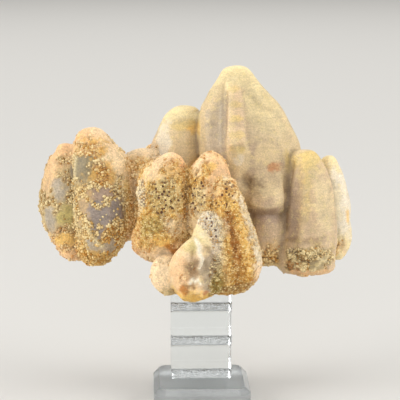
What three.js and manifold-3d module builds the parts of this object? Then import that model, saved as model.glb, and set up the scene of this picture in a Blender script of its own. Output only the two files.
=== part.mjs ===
// A smithsonite specimen, a cluster of steep crystal points coated in druse, standing on a clear
// acrylic riser of three stacked blocks and a bevelled base plate. Millimetres, +Z up, +X to the
// right and -Y towards the viewer. The origin is the middle of the base plate's underside.

import * as THREE from "three";
import { mergeVertices } from "three/addons/utils/BufferGeometryUtils.js";
import Module from "manifold-3d";

const wasm = await Module();
wasm.setup();

// ---- driving dimensions -------------------------------------------------------------------

const PLATE = { width: 33, depth: 35, height: 6, bevel: 2, corner: 3 };
const BLOCK = { width: 21, depth: 18, height: 12, count: 3, edge: 0.4, setBack: 6 };
const STACK_GAP = 0.1; // between polished faces that rest on each other
const SEAT_GAP = 0.3; // between the stone and the block it sits on
const SEAT_MARGIN = 4; // the flat seat runs on this far past the block's edges

const SEAT_Z = PLATE.height + BLOCK.count * BLOCK.height;
const RING_STEP = 4.4; // spacing of the rings along a crystal
const SPLIT_ANGLE = 24; // a crystal face that spans more degrees than this is divided for lumps
const LUMP_LENGTH = 5.2; // distance from lump to lump of the druse

const MATERIALS = {
  stone: new THREE.MeshStandardMaterial({ color: "#cdb88c", roughness: 0.62, metalness: 0 }),
  acrylic: new THREE.MeshStandardMaterial({
    color: "#dfe7ea",
    roughness: 0.05,
    metalness: 0,
    transparent: true,
    opacity: 0.35,
  }),
};

// ---- the crystals -------------------------------------------------------------------------
// A crystal runs from its tip down to its root. Each section is [distance from the tip, and the
// reach to the left, right, front and back of that line]. Corners are [angle, share of the
// reach], with 0 at the right, 90 at the back, 180 at the left and 270 at the front: the faces
// between them are flat, and a share well under its neighbours' makes a groove. The lump is how
// high the druse on it swells.

const ROUND = [[0, 1], [40, 0.97], [85, 1], [130, 0.97], [180, 1], [222, 0.96], [270, 1], [315, 0.96]];
const SIX_SIDED = [
  [24, 1], [36, 1], [84, 0.98], [96, 0.98], [144, 1], [156, 1], [204, 1], [216, 1], [264, 0.98],
  [276, 0.98], [324, 1], [336, 1],
];
const BLOCKY = [
  [0, 1], [35, 1.16], [60, 1.12], [120, 1.12], [145, 1.16], [180, 1], [215, 1.14], [236, 1.12],
  [304, 1.12], [325, 1.14],
];
const SHELF = [[0, 1], [60, 1], [120, 1], [180, 1.02], [206, 1.04], [232, 1.04], [262, 1.02], [292, 1.02], [320, 1.02], [342, 1]];

const CRYSTALS = [
  {
    name: "main spear",
    tip: [12, 10, 113.2],
    root: [17.5, 8, 50],
    lump: 0.3,
    corners: [
      [0, 1], [38, 0.97], [85, 1], [130, 0.97], [170, 1.01], [200, 1.03], [222, 1.06], [243, 0.97],
      [262, 0.96], [290, 0.99], [312, 1.02], [336, 1.04],
    ],
    sections: [
      [0, 2.2, 2.1, 1.4, 1.4],
      [0.8, 4.2, 4, 2.8, 2.8],
      [2.8, 5.6, 5.3, 4.2, 4],
      [7.2, 8.9, 8.2, 6.6, 6.2],
      [13, 13, 13, 9.4, 9],
      [20.5, 15, 17, 11.4, 12],
      [29.5, 15, 20, 13.2, 14],
      [48, 15, 20.5, 13.5, 15],
      [63, 12, 17, 11, 12],
    ],
  },
  {
    name: "stepped rib of the main spear",
    tip: [11.1, 3.8, 110],
    root: [11.9, -5, 78],
    lump: 0.12,
    corners: BLOCKY,
    sections: [
      [0, 1.6, 1.6, 0.8, 2],
      [0.8, 2.6, 2.6, 1.6, 3],
      [5.6, 2.9, 2.9, 2, 4],
      [6.2, 3.1, 3.1, 2.5, 4],
      [11.8, 3.1, 3.1, 2.1, 4],
      [12.4, 3.4, 3.3, 2.6, 4],
      [17.6, 3.4, 3.3, 2.2, 4],
      [18.2, 3.5, 3.5, 2.7, 4],
      [23.4, 3.5, 3.6, 2.3, 4],
      [24.4, 3.4, 3.6, 1.5, 4],
      [27, 3, 3.6, 0.4, 4],
      [29, 2.4, 3, -0.6, 3],
    ],
  },
  {
    name: "blunt shoulder",
    tip: [-6.5, 14, 99],
    root: [-5, 12, 50],
    lump: 0.3,
    corners: [
      [0, 0.98], [45, 0.97], [90, 1], [135, 0.96], [180, 1], [208, 0.99], [232, 0.97], [252, 1.02],
      [282, 1], [314, 1.02], [336, 0.97],
    ],
    sections: [
      [0, 1.8, 3.4, 2, 2],
      [0.7, 3.6, 5.6, 3.6, 3.6],
      [3, 5.9, 7.3, 5.6, 5.6],
      [6.7, 8, 8, 7, 7],
      [12, 10.8, 8.6, 8, 8.4],
      [20, 11.8, 9, 8.6, 9.6],
      [49, 10, 9, 8, 9],
    ],
  },
  {
    name: "right column",
    tip: [35.2, 0, 85.4],
    root: [36.8, -1, 43.8],
    lump: 0.35,
    corners: [
      [0, 1], [45, 0.97], [90, 1], [135, 0.97], [180, 1], [204, 0.94], [230, 0.95], [256, 1.06],
      [284, 1.04], [312, 1.02], [338, 1.02],
    ],
    sections: [
      [0, 1.9, 1.9, 1.5, 1.5],
      [0.7, 3.3, 3.4, 2.8, 2.8],
      [2.6, 4.6, 5, 4.2, 4],
      [7, 5.6, 7.3, 5.4, 5.6],
      [12.3, 6.9, 9, 6.4, 7],
      [17.6, 8, 9.7, 7.2, 8],
      [24.6, 9.8, 10.1, 8, 9],
      [31.7, 11.2, 10, 8.8, 10],
      [38.4, 11.6, 9.6, 8.6, 9.4],
      [41, 10.4, 9, 7.6, 8],
      [42.6, 8, 7.6, 5.6, 6],
    ],
  },
  {
    name: "outer right column",
    tip: [44.4, 8, 82.4],
    root: [47.4, 5, 46],
    lump: 0.5,
    corners: ROUND,
    sections: [
      [0, 1.3, 1.2, 1, 1],
      [0.8, 2.6, 2, 2, 2],
      [3.3, 4.2, 3.3, 3.4, 3.4],
      [6, 5.2, 4.4, 4.4, 4.4],
      [10.6, 6, 5.5, 5.6, 5.6],
      [18.7, 7, 6.4, 6.4, 7],
      [23.4, 7, 5.9, 6.4, 7],
      [28.2, 7, 6, 6, 6.6],
      [32.4, 6, 4.6, 5, 5.4],
      [36, 4, 2.2, 3.4, 3.6],
    ],
  },
  {
    name: "nub on the outer right column",
    tip: [51.4, 4.6, 59],
    root: [50, 5, 52],
    lump: 0.3,
    corners: ROUND,
    sections: [
      [0, 0.8, 0.4, 0.8, 0.8],
      [0.6, 1.6, 1, 1.6, 1.6],
      [2.6, 2.2, 1.7, 2.4, 2.4],
      [5, 2.2, 1.2, 2.2, 2.2],
      [7.6, 1.4, 0.2, 1, 1],
    ],
  },
  {
    name: "front spear",
    tip: [3.2, -10, 86.2],
    root: [1.6, -7, 49],
    lump: 0.6,
    corners: [
      [0, 1], [60, 0.97], [120, 0.97], [180, 1], [205, 1], [232, 0.98], [258, 1.03], [290, 1],
      [322, 1.01],
    ],
    sections: [
      [0, 1.9, 1.6, 1.4, 1.4],
      [0.7, 3.4, 2.9, 2.4, 2.6],
      [2.6, 5, 4.4, 3.8, 3.8],
      [5, 6.8, 5.6, 5, 5],
      [8.2, 7.6, 7, 6, 6.4],
      [13.4, 8, 8.6, 7, 8],
      [22, 8, 9.6, 7.8, 9],
      [36, 7.4, 9, 7, 9],
    ],
  },
  {
    name: "front buttress",
    tip: [7.2, -13.4, 78.2],
    root: [10.6, -14.6, 40.9],
    lump: 0.7,
    corners: [
      [0, 1], [40, 0.97], [90, 1], [140, 0.97], [184, 1.02], [216, 1], [240, 1.03], [256, 1],
      [267, 0.9], [285, 0.92], [299, 1.07], [330, 1.04],
    ],
    sections: [
      [0, 1.5, 1.7, 0.9, 1],
      [0.7, 2.7, 2.9, 1.7, 1.8],
      [2.3, 3.6, 3.6, 3.4, 3],
      [4.6, 4.3, 4.5, 4.7, 4.4],
      [9.6, 5, 6, 6.2, 6.4],
      [14.6, 7.6, 7.4, 7, 8],
      [20, 10.6, 8.8, 8.2, 9],
      [25.6, 12.6, 9.8, 9.2, 9.4],
      [30.3, 12.8, 10.1, 9.4, 9],
      [34.4, 11.6, 8.6, 8.4, 8],
      [37.4, 9, 5.6, 6, 6],
      [39, 6, 3, 3.6, 4],
    ],
  },
  {
    name: "pale wedge on the buttress",
    tip: [1.4, -18.2, 67.4],
    root: [3.2, -18.6, 44],
    lump: 0.5,
    corners: [
      [0, 1], [60, 0.95], [120, 0.95], [180, 1], [210, 0.98], [240, 1.06], [268, 0.97], [300, 0.95],
      [330, 0.98],
    ],
    sections: [
      [0, 0.9, 0.9, 0.8, 0.8],
      [0.7, 1.8, 1.8, 1.6, 1.6],
      [4, 4.2, 3.4, 3, 3],
      [9.6, 6.6, 5.4, 4.6, 5],
      [15, 7.6, 6.6, 5.2, 6],
      [20, 7, 6, 4.6, 5],
      [23, 5, 4, 3, 3],
    ],
  },
  {
    name: "left front spear",
    tip: [-10, -8, 85.7],
    root: [-13, -6.5, 48],
    lump: 0.7,
    corners: [
      [0, 1], [50, 0.97], [110, 0.97], [165, 0.97], [192, 1.04], [218, 1.03], [248, 1.02],
      [280, 1.01], [306, 1.01], [334, 1.03],
    ],
    sections: [
      [0, 1.5, 1.5, 1.2, 1.2],
      [0.7, 2.8, 2.7, 2.2, 2.4],
      [2.5, 5, 4.2, 3.6, 4],
      [4.3, 7.4, 5.6, 4.8, 5.4],
      [6.8, 9.8, 6.3, 5.8, 6.6],
      [10, 10.6, 6.8, 6.6, 7.6],
      [16.5, 9.9, 7.4, 7.6, 9],
      [25, 9.6, 8.6, 7.8, 9],
      [30, 11.4, 9.4, 7.2, 8.4],
      [33.4, 11, 9.6, 6, 7.4],
      [36, 8.4, 9, 4.8, 6],
      [37.8, 5, 7.6, 3.4, 4.4],
    ],
  },
  {
    name: "small broken point",
    tip: [-2.4, -20.6, 58.8],
    root: [-4.2, -17, 36.4],
    lump: 0.3,
    corners: [
      [0, 1], [55, 0.95], [125, 0.95], [180, 1], [212, 0.97], [240, 1.02], [262, 0.9], [272, 0.93],
      [286, 1.08], [310, 0.97], [338, 1.03],
    ],
    sections: [
      [0, 1.6, 1.1, 0.8, 0.8],
      [0.6, 3, 1.8, 1.5, 1.6],
      [2.5, 4.4, 3.1, 2.8, 3.4],
      [5, 6.6, 4.4, 4, 5],
      [8.8, 8.2, 6.3, 5, 6.4],
      [14, 8.2, 8.4, 6, 7],
      [17.2, 6.8, 8.8, 5.6, 6.4],
      [19.6, 4.6, 6.6, 4.4, 4.6],
      [22, 2, 3, 2, 2.4],
    ],
  },
  {
    name: "low left lobe",
    tip: [-13.2, -14.6, 51.6],
    root: [-11.6, -14, 38.2],
    lump: 0.3,
    corners: ROUND,
    sections: [
      [0, 1.6, 2.8, 1.3, 1.5],
      [0.7, 3, 4.4, 2.4, 2.6],
      [3, 4.7, 6, 3.8, 4.4],
      [6, 5.4, 7, 4.6, 5.2],
      [8.8, 5.3, 7, 4.4, 5],
      [11, 3.6, 6.4, 3.4, 4],
      [13.2, 0.8, 5, 2, 2.4],
    ],
  },
  {
    name: "left lobe",
    tip: [-37.4, 4, 92.9],
    root: [-35.2, 3, 46],
    lump: 0.8,
    corners: [
      [0, 1], [40, 0.96], [85, 0.98], [130, 0.97], [178, 1], [208, 1.02], [228, 1.03], [256, 1.02],
      [286, 1.03], [314, 1.02], [338, 0.99],
    ],
    sections: [
      [0, 2.2, 1.8, 1.4, 1.4],
      [0.8, 4, 3.4, 2.6, 2.6],
      [2.4, 5.3, 4.9, 4, 4],
      [4.6, 6.5, 6.7, 5.2, 5.4],
      [8.4, 7, 10, 6.8, 7.4],
      [12, 7.2, 12.9, 8, 9],
      [19, 7.3, 14.2, 9.6, 10.6],
      [28, 7.6, 14.4, 10.4, 11],
      [36, 7.6, 13.4, 9.8, 10],
      [40.4, 7.2, 9.2, 8.8, 8.6],
      [44, 6.4, 5.8, 7.2, 7],
      [47.2, 4.8, 4.6, 5, 5],
    ],
  },
  {
    name: "far left lobe",
    tip: [-46.6, 6, 87.3],
    root: [-45.4, 5, 46.4],
    lump: 0.6,
    corners: [
      [0, 1], [50, 0.96], [95, 1], [140, 0.96], [180, 1], [208, 1.02], [240, 1.03], [272, 0.98],
      [310, 1],
    ],
    sections: [
      [0, 1.4, 1.8, 1.1, 1.1],
      [0.7, 2.4, 3.4, 2, 2.2],
      [2.8, 3.3, 5.2, 3.6, 3.8],
      [4.6, 5.1, 6, 4.8, 5],
      [9.6, 7.3, 6.6, 6.6, 7],
      [15.6, 8.9, 7, 7.6, 8.6],
      [21.2, 9.6, 7, 8, 9],
      [28.4, 8.2, 7, 7.4, 8.4],
      [35, 4.6, 7, 5.8, 6.6],
      [38.8, 2.4, 6.6, 4.6, 5],
      [40.8, 1, 5.6, 3, 3.4],
    ],
  },
  {
    name: "rear saddle",
    tip: [-19.4, 9, 84.9],
    root: [-20, 5, 54],
    lump: 0.5,
    corners: ROUND,
    sections: [
      [0, 1.6, 2.4, 1.2, 1.4],
      [0.8, 4.2, 5, 2.4, 2.6],
      [2.4, 7.4, 7.4, 3.8, 4.4],
      [6, 9.6, 8, 6, 6.6],
      [14, 11, 8.6, 8.6, 9],
      [31, 9, 8, 8.6, 9],
    ],
  },
  {
    name: "upper ledge under the main spear",
    tip: [21.5, -0.6, 86],
    root: [21.5, -2.2, 63.8],
    lump: 0.3,
    corners: SHELF,
    sections: [
      [0, 1, 1, 0.6, 2],
      [5, 3, 4.6, 1.8, 4],
      [9, 5, 6.6, 3.2, 5],
      [13, 7, 7.8, 4.8, 6],
      [17, 7.2, 8.6, 5.9, 6],
      [19.4, 6.6, 8, 5.6, 5],
      [21.4, 5.4, 6.8, 4.4, 4],
      [22.2, 4.2, 5.4, 3.4, 3],
    ],
  },
  {
    name: "lower ledge under the main spear",
    tip: [22, -1, 63.7],
    root: [22.4, -1.4, 45.8],
    lump: 0.5,
    corners: SHELF,
    sections: [
      [0, 4, 5, 4.2, 4],
      [0.7, 5, 6, 5.4, 5],
      [4, 5.4, 6.6, 5.8, 6],
      [8, 5.8, 6.6, 5.6, 6],
      [13, 6.4, 6.6, 5.2, 6],
      [16, 5.6, 5.8, 4, 5],
      [17.9, 4.2, 4.6, 2.4, 3],
    ],
  },
  {
    name: "matrix heart",
    tip: [1, 7, 76],
    root: [1, 7, 41],
    lump: 0.9,
    corners: ROUND,
    sections: [
      [0, 20, 20, 8, 8],
      [8, 27, 26, 11, 12],
      [17, 29, 27, 12, 14],
      [22, 28, 26, 12, 14],
      [24, 21, 25, 12, 14],
      [30, 12, 21, 11, 12],
      [35, 12, 14, 10, 10],
    ],
  },
  {
    name: "rear right spear",
    tip: [28, 25, 92],
    root: [19, 10, 46],
    lump: 0.4,
    corners: SIX_SIDED,
    sections: [
      [0, 1.3, 1.3, 1.2, 1.2],
      [0.8, 2.6, 2.6, 2.4, 2.4],
      [3.4, 4.4, 4.2, 4, 4],
      [9, 6.8, 6.6, 6, 6.4],
      [18, 9.4, 9, 8, 8.4],
      [30, 11, 10.4, 9, 9.4],
      [40, 9.6, 9, 8, 8],
      [46, 7, 7, 6, 6],
    ],
  },
  {
    name: "rear left spear",
    tip: [-16, 28, 84],
    root: [-6, 10, 44],
    lump: 0.5,
    corners: SIX_SIDED,
    sections: [
      [0, 1.4, 1.3, 1.2, 1.2],
      [0.8, 2.7, 2.6, 2.4, 2.4],
      [3.4, 4.6, 4.4, 4, 4],
      [9, 7, 6.6, 6.2, 6.4],
      [18, 9.4, 8.8, 8, 8.4],
      [30, 10.6, 10, 9, 9],
      [42, 8, 8, 7, 7],
    ],
  },
  {
    name: "rear outer point",
    tip: [-37, 18, 78],
    root: [-30, 7, 55],
    lump: 0.6,
    corners: SIX_SIDED,
    sections: [
      [0, 1.1, 1.1, 1, 1],
      [0.8, 2.2, 2.2, 2, 2],
      [3.4, 4, 4, 3.6, 3.6],
      [9, 6.2, 6.2, 5.4, 5.6],
      [18, 8, 7.6, 7, 7.4],
      [26, 6, 6, 5, 5],
    ],
  },
  {
    name: "rear low point",
    tip: [7, 31, 68],
    root: [8, 9, 44],
    lump: 0.6,
    corners: SIX_SIDED,
    sections: [
      [0, 1.2, 1.2, 1.2, 1],
      [0.8, 2.4, 2.4, 2.2, 2],
      [3.4, 4.4, 4.4, 4, 3.4],
      [8, 6.6, 6.6, 6, 4.6],
      [16, 9, 9, 8, 5.6],
      [30, 10, 10, 8, 6],
    ],
  },
];

// Hollows between the crystals: where, and how far each reaches in X, Y and Z.
const HOLLOWS = [
  { name: "pocket beside the upper ledge", at: [14.6, -7, 75.8], reach: [3.6, 4.4, 4.6] },
  { name: "seam under the upper ledge", at: [21.4, -8.4, 63.7], reach: [8, 2.6, 0.8] },
  { name: "pocket above the small broken point", at: [-8.4, -16.4, 55.4], reach: [3, 3, 3.4] },
  { name: "seam between the left lobes", at: [-24, -6.4, 66], reach: [1.3, 3, 8] },
  { name: "chip under the far left lobe", at: [-46.4, 1, 45.6], reach: [4, 5, 2.6] },
  { name: "chip under the left lobe", at: [-30.6, -1, 45.8], reach: [3.2, 7, 3] },
];

// ---- shaping ------------------------------------------------------------------------------

const FRONT = new THREE.Vector3(0, -1, 0);

// Joins rings of equally many points into one closed surface with a flat cap at each end. The
// rings run from top to bottom, and each turns anticlockwise seen from above.
function loft(rings) {
  const count = rings[0].length;
  const points = rings.flat();
  const index = [];
  for (let r = 0; r < rings.length - 1; r++) {
    for (let i = 0; i < count; i++) {
      const next = (i + 1) % count;
      const [a, b] = [r * count + i, r * count + next];
      const [c, d] = [a + count, b + count];
      index.push(a, c, b, b, c, d);
    }
  }
  [[0, false], [rings.length - 1, true]].forEach(([r, turned]) => {
    const centre = points.length;
    const ring = rings[r];
    points.push(ring.reduce((sum, p) => sum.add(p), new THREE.Vector3()).divideScalar(count));
    for (let i = 0; i < count; i++) {
      const [a, b] = [r * count + i, r * count + ((i + 1) % count)];
      index.push(centre, ...(turned ? [b, a] : [a, b]));
    }
  });
  return new THREE.BufferGeometry().setFromPoints(points).setIndex(index);
}

// A smooth height between -1 and 1 that rises and falls every LUMP_LENGTH or so.
function lumps(p, seed) {
  const k = (2 * Math.PI) / LUMP_LENGTH;
  const slow = Math.sin(0.47 * k * p.x + seed) * Math.sin(0.39 * k * p.y + 2 * seed) * Math.sin(0.43 * k * p.z);
  const quick = Math.sin(k * p.x + 3 * seed) * Math.sin(0.9 * k * p.y) * Math.sin(1.1 * k * p.z + seed);
  return 0.55 * slow + 0.45 * quick;
}

// The line of a crystal, with its own right and front, and the reach of its surface at any place.
function crystalFrame({ tip, root, corners, sections, lump }, seed) {
  const top = new THREE.Vector3(...tip);
  const down = new THREE.Vector3(...root).sub(top).normalize();
  const front = FRONT.clone().addScaledVector(down, -FRONT.dot(down)).normalize();
  const right = front.clone().cross(down);
  const reaches = new THREE.CubicInterpolant(
    sections.map((s) => s[0]),
    sections.flatMap((s) => s.slice(1)),
    4,
  );
  const place = (distance, angle, share) => {
    const [left, rightReach, frontReach, back] = reaches.evaluate(distance);
    const [c, s] = [Math.cos(angle), Math.sin(angle)];
    return top
      .clone()
      .addScaledVector(down, distance)
      .addScaledVector(right, share * c * (c > 0 ? rightReach : left))
      .addScaledVector(front, share * -s * (s > 0 ? back : frontReach));
  };
  return { top, down, place, corners, sections, lump, seed };
}

// One ring of a crystal: its corners, and the points between them on its flat faces.
function crystalRing(frame, distance) {
  const corners = frame.corners.map(([angle, share]) =>
    frame.place(distance, THREE.MathUtils.degToRad(angle), share),
  );
  const middle = frame.top.clone().addScaledVector(frame.down, distance);
  return corners.flatMap((corner, i) => {
    const j = (i + 1) % corners.length;
    const span = (frame.corners[j][0] - frame.corners[i][0] + 360) % 360;
    const parts = Math.ceil(span / SPLIT_ANGLE);
    return Array.from({ length: parts }, (_, k) => {
      const p = corner.clone().lerp(corners[j], k / parts);
      const outward = p.clone().sub(middle).normalize();
      return p.addScaledVector(outward, frame.lump * lumps(p, frame.seed));
    });
  });
}

// Distances of a crystal's rings: one at each section, with more between sections far apart.
function ringDistances(sections) {
  return sections.flatMap(([from], i) => {
    if (i === sections.length - 1) return [from];
    const span = sections[i + 1][0] - from;
    const parts = Math.max(1, Math.round(span / RING_STEP));
    return Array.from({ length: parts }, (_, k) => from + (span * k) / parts);
  });
}

function crystal(frame) {
  return loft(ringDistances(frame.sections).map((distance) => crystalRing(frame, distance)));
}

// ---- joining and cutting ------------------------------------------------------------------

function toSolid(geometry) {
  const bare = geometry.clone();
  bare.deleteAttribute("normal");
  bare.deleteAttribute("uv");
  const merged = mergeVertices(bare, 1e-4);
  return new wasm.Manifold(
    new wasm.Mesh({
      numProp: 3,
      vertProperties: new Float32Array(merged.getAttribute("position").array),
      triVerts: new Uint32Array(merged.getIndex().array),
    }),
  );
}

function toGeometry(solid) {
  const mesh = solid.getMesh();
  const geometry = new THREE.BufferGeometry();
  geometry.setAttribute("position", new THREE.BufferAttribute(mesh.vertProperties, 3));
  geometry.setIndex(new THREE.BufferAttribute(mesh.triVerts, 1));
  geometry.computeVertexNormals();
  return geometry;
}

// ---- the specimen -------------------------------------------------------------------------

// The room that the riser takes: the top block and all that is under and behind it.
function seatCutter() {
  const width = BLOCK.width + 2 * SEAT_MARGIN;
  const front = BLOCK.setBack - BLOCK.depth / 2 - SEAT_MARGIN;
  const depth = 50;
  const height = SEAT_Z + SEAT_GAP;
  return new THREE.BoxGeometry(width, depth, height).translate(0, front + depth / 2, height / 2);
}

function specimenGeometry() {
  let stone = null;
  CRYSTALS.forEach((one, i) => {
    const frame = crystalFrame(one, 1.7 * i);
    const solid = toSolid(crystal(frame));
    stone = stone ? stone.add(solid) : solid;
  });
  HOLLOWS.forEach(({ at, reach }) => {
    const hollow = new THREE.IcosahedronGeometry(1, 1).scale(...reach).translate(...at);
    stone = stone.subtract(toSolid(hollow));
  });
  return toGeometry(stone.subtract(toSolid(seatCutter())));
}

// ---- the riser ----------------------------------------------------------------------------

// A rectangle with cut or rounded corners, as a ring of points at one height.
function rectangleRing(width, depth, corner, cornerPoints, z) {
  const centres = [[1, 1], [-1, 1], [-1, -1], [1, -1]];
  return centres.flatMap(([sx, sy], quarter) =>
    Array.from({ length: cornerPoints }, (_, k) => {
      const angle = (quarter + k / (cornerPoints - 1)) * (Math.PI / 2);
      return new THREE.Vector3(
        sx * (width / 2 - corner) + corner * Math.cos(angle),
        sy * (depth / 2 - corner) + corner * Math.sin(angle),
        z,
      );
    }),
  );
}

// The plate: upright sides, and a wide bevel up to its top face.
function plateGeometry() {
  const { width, depth, height, bevel, corner } = PLATE;
  const cornerPoints = 7;
  return loft([
    rectangleRing(width - 2 * bevel, depth - 2 * bevel, corner, cornerPoints, height),
    rectangleRing(width, depth, corner + bevel, cornerPoints, height - bevel),
    rectangleRing(width, depth, corner + bevel, cornerPoints, 0),
  ]);
}

// A block with a small flame-polished chamfer along every edge.
function blockGeometry() {
  const { width, depth, height, edge } = BLOCK;
  const tall = height - STACK_GAP;
  return loft([
    rectangleRing(width - 2 * edge, depth - 2 * edge, edge, 2, tall),
    rectangleRing(width, depth, edge, 2, tall - edge),
    rectangleRing(width, depth, edge, 2, edge),
    rectangleRing(width - 2 * edge, depth - 2 * edge, edge, 2, 0),
  ]);
}

// ---- the scene graph ----------------------------------------------------------------------

function named(name, geometry, material) {
  const mesh = new THREE.Mesh(geometry, material);
  mesh.name = name;
  return mesh;
}

const riser = new THREE.Group();
riser.add(named("base_plate", plateGeometry(), MATERIALS.acrylic));
["block_bottom", "block_middle", "block_top"].forEach((name, i) => {
  const block = named(name, blockGeometry(), MATERIALS.acrylic);
  block.position.set(0, BLOCK.setBack, PLATE.height + i * BLOCK.height + STACK_GAP);
  riser.add(block);
});

const specimen = new THREE.Group();
specimen.add(riser);
specimen.add(named("smithsonite", specimenGeometry(), MATERIALS.stone));

export default specimen;
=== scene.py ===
"""A smithsonite cluster on a clear acrylic riser: the looks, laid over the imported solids.

Laid out as a Blender add-on and run as a script. Lengths are metres unless a name or a comment
says mm.
"""
import math

import bpy
import numpy as np
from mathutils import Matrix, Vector, noise


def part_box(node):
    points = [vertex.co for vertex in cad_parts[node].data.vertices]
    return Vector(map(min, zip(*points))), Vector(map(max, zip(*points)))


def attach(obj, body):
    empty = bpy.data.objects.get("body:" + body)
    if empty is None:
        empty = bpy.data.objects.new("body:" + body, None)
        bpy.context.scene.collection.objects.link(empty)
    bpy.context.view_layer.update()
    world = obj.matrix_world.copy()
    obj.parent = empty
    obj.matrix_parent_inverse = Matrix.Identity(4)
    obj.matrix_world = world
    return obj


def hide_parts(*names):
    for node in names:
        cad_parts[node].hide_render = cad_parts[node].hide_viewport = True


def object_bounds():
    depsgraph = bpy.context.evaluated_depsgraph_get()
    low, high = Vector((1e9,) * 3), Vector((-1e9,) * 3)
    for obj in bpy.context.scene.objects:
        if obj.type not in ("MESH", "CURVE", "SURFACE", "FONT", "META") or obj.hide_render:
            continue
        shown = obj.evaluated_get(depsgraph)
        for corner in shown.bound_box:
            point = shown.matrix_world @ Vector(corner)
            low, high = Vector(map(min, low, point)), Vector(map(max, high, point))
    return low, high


bl_info = {
    "name": "Smithsonite specimen",
    "version": (1, 0, 0),
    "blender": (4, 5, 0),
    "location": "View3D > Sidebar > Specimen",
    "description": "Dresses the packed smithsonite cluster and its riser, and sets the stage",
    "category": "Object",
}

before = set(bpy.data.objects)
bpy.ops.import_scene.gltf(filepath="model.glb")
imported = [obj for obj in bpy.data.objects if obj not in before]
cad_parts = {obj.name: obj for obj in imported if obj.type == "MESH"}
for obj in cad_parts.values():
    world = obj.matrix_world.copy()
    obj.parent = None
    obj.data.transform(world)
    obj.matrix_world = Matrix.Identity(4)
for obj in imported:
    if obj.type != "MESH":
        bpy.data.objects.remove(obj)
CAD_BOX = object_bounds()
MM = 0.001
# The cluster's box in mm: all that grows on it is placed in shares of this box.
CLUSTER_LOW, CLUSTER_HIGH = (np.array(corner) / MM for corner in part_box("smithsonite"))
CLUSTER_SIZE = CLUSTER_HIGH - CLUSTER_LOW


def srgb(code):
    """A colour written as sRGB hex, as the linear red, green, blue and alpha that shaders take."""
    values = [int(code[i:i + 2], 16) / 255 for i in (1, 3, 5)]
    linear = [v / 12.92 if v <= 0.04045 else ((v + 0.055) / 1.055) ** 2.4 for v in values]
    return (*linear, 1.0)


# ---- what grew where ------------------------------------------------------------------------

# The mineral's colours, chosen one by one.
COLOURS = {
    # white bloom is a real whitish coat, and it also serves as painted light on lit faces
    "frost": "#EDE3CC", "white bloom and painted highlight": "#DBCEB6", "cream": "#D9C595", "pale peach": "#DABE96",
    "peach": "#DAB080", "rose": "#C49B78", "butter": "#CBB172", "lemon": "#B0A058",
    "sand": "#BCA475", "honey": "#DAAE5A", "gold": "#C79A4A", "olive": "#A8914A",
    "amber": "#B0702A", "rust": "#B4703A", "velvet": "#CAB38A", "warm velvet": "#C3A987",
    "grey velvet": "#B09D82", "mauve": "#A08873", "slate": "#908278", "pearl": "#9F9588",
    "green grey": "#86785A", "tan": "#96784F", "bark": "#775C3C", "umber": "#50391F",
}
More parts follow.
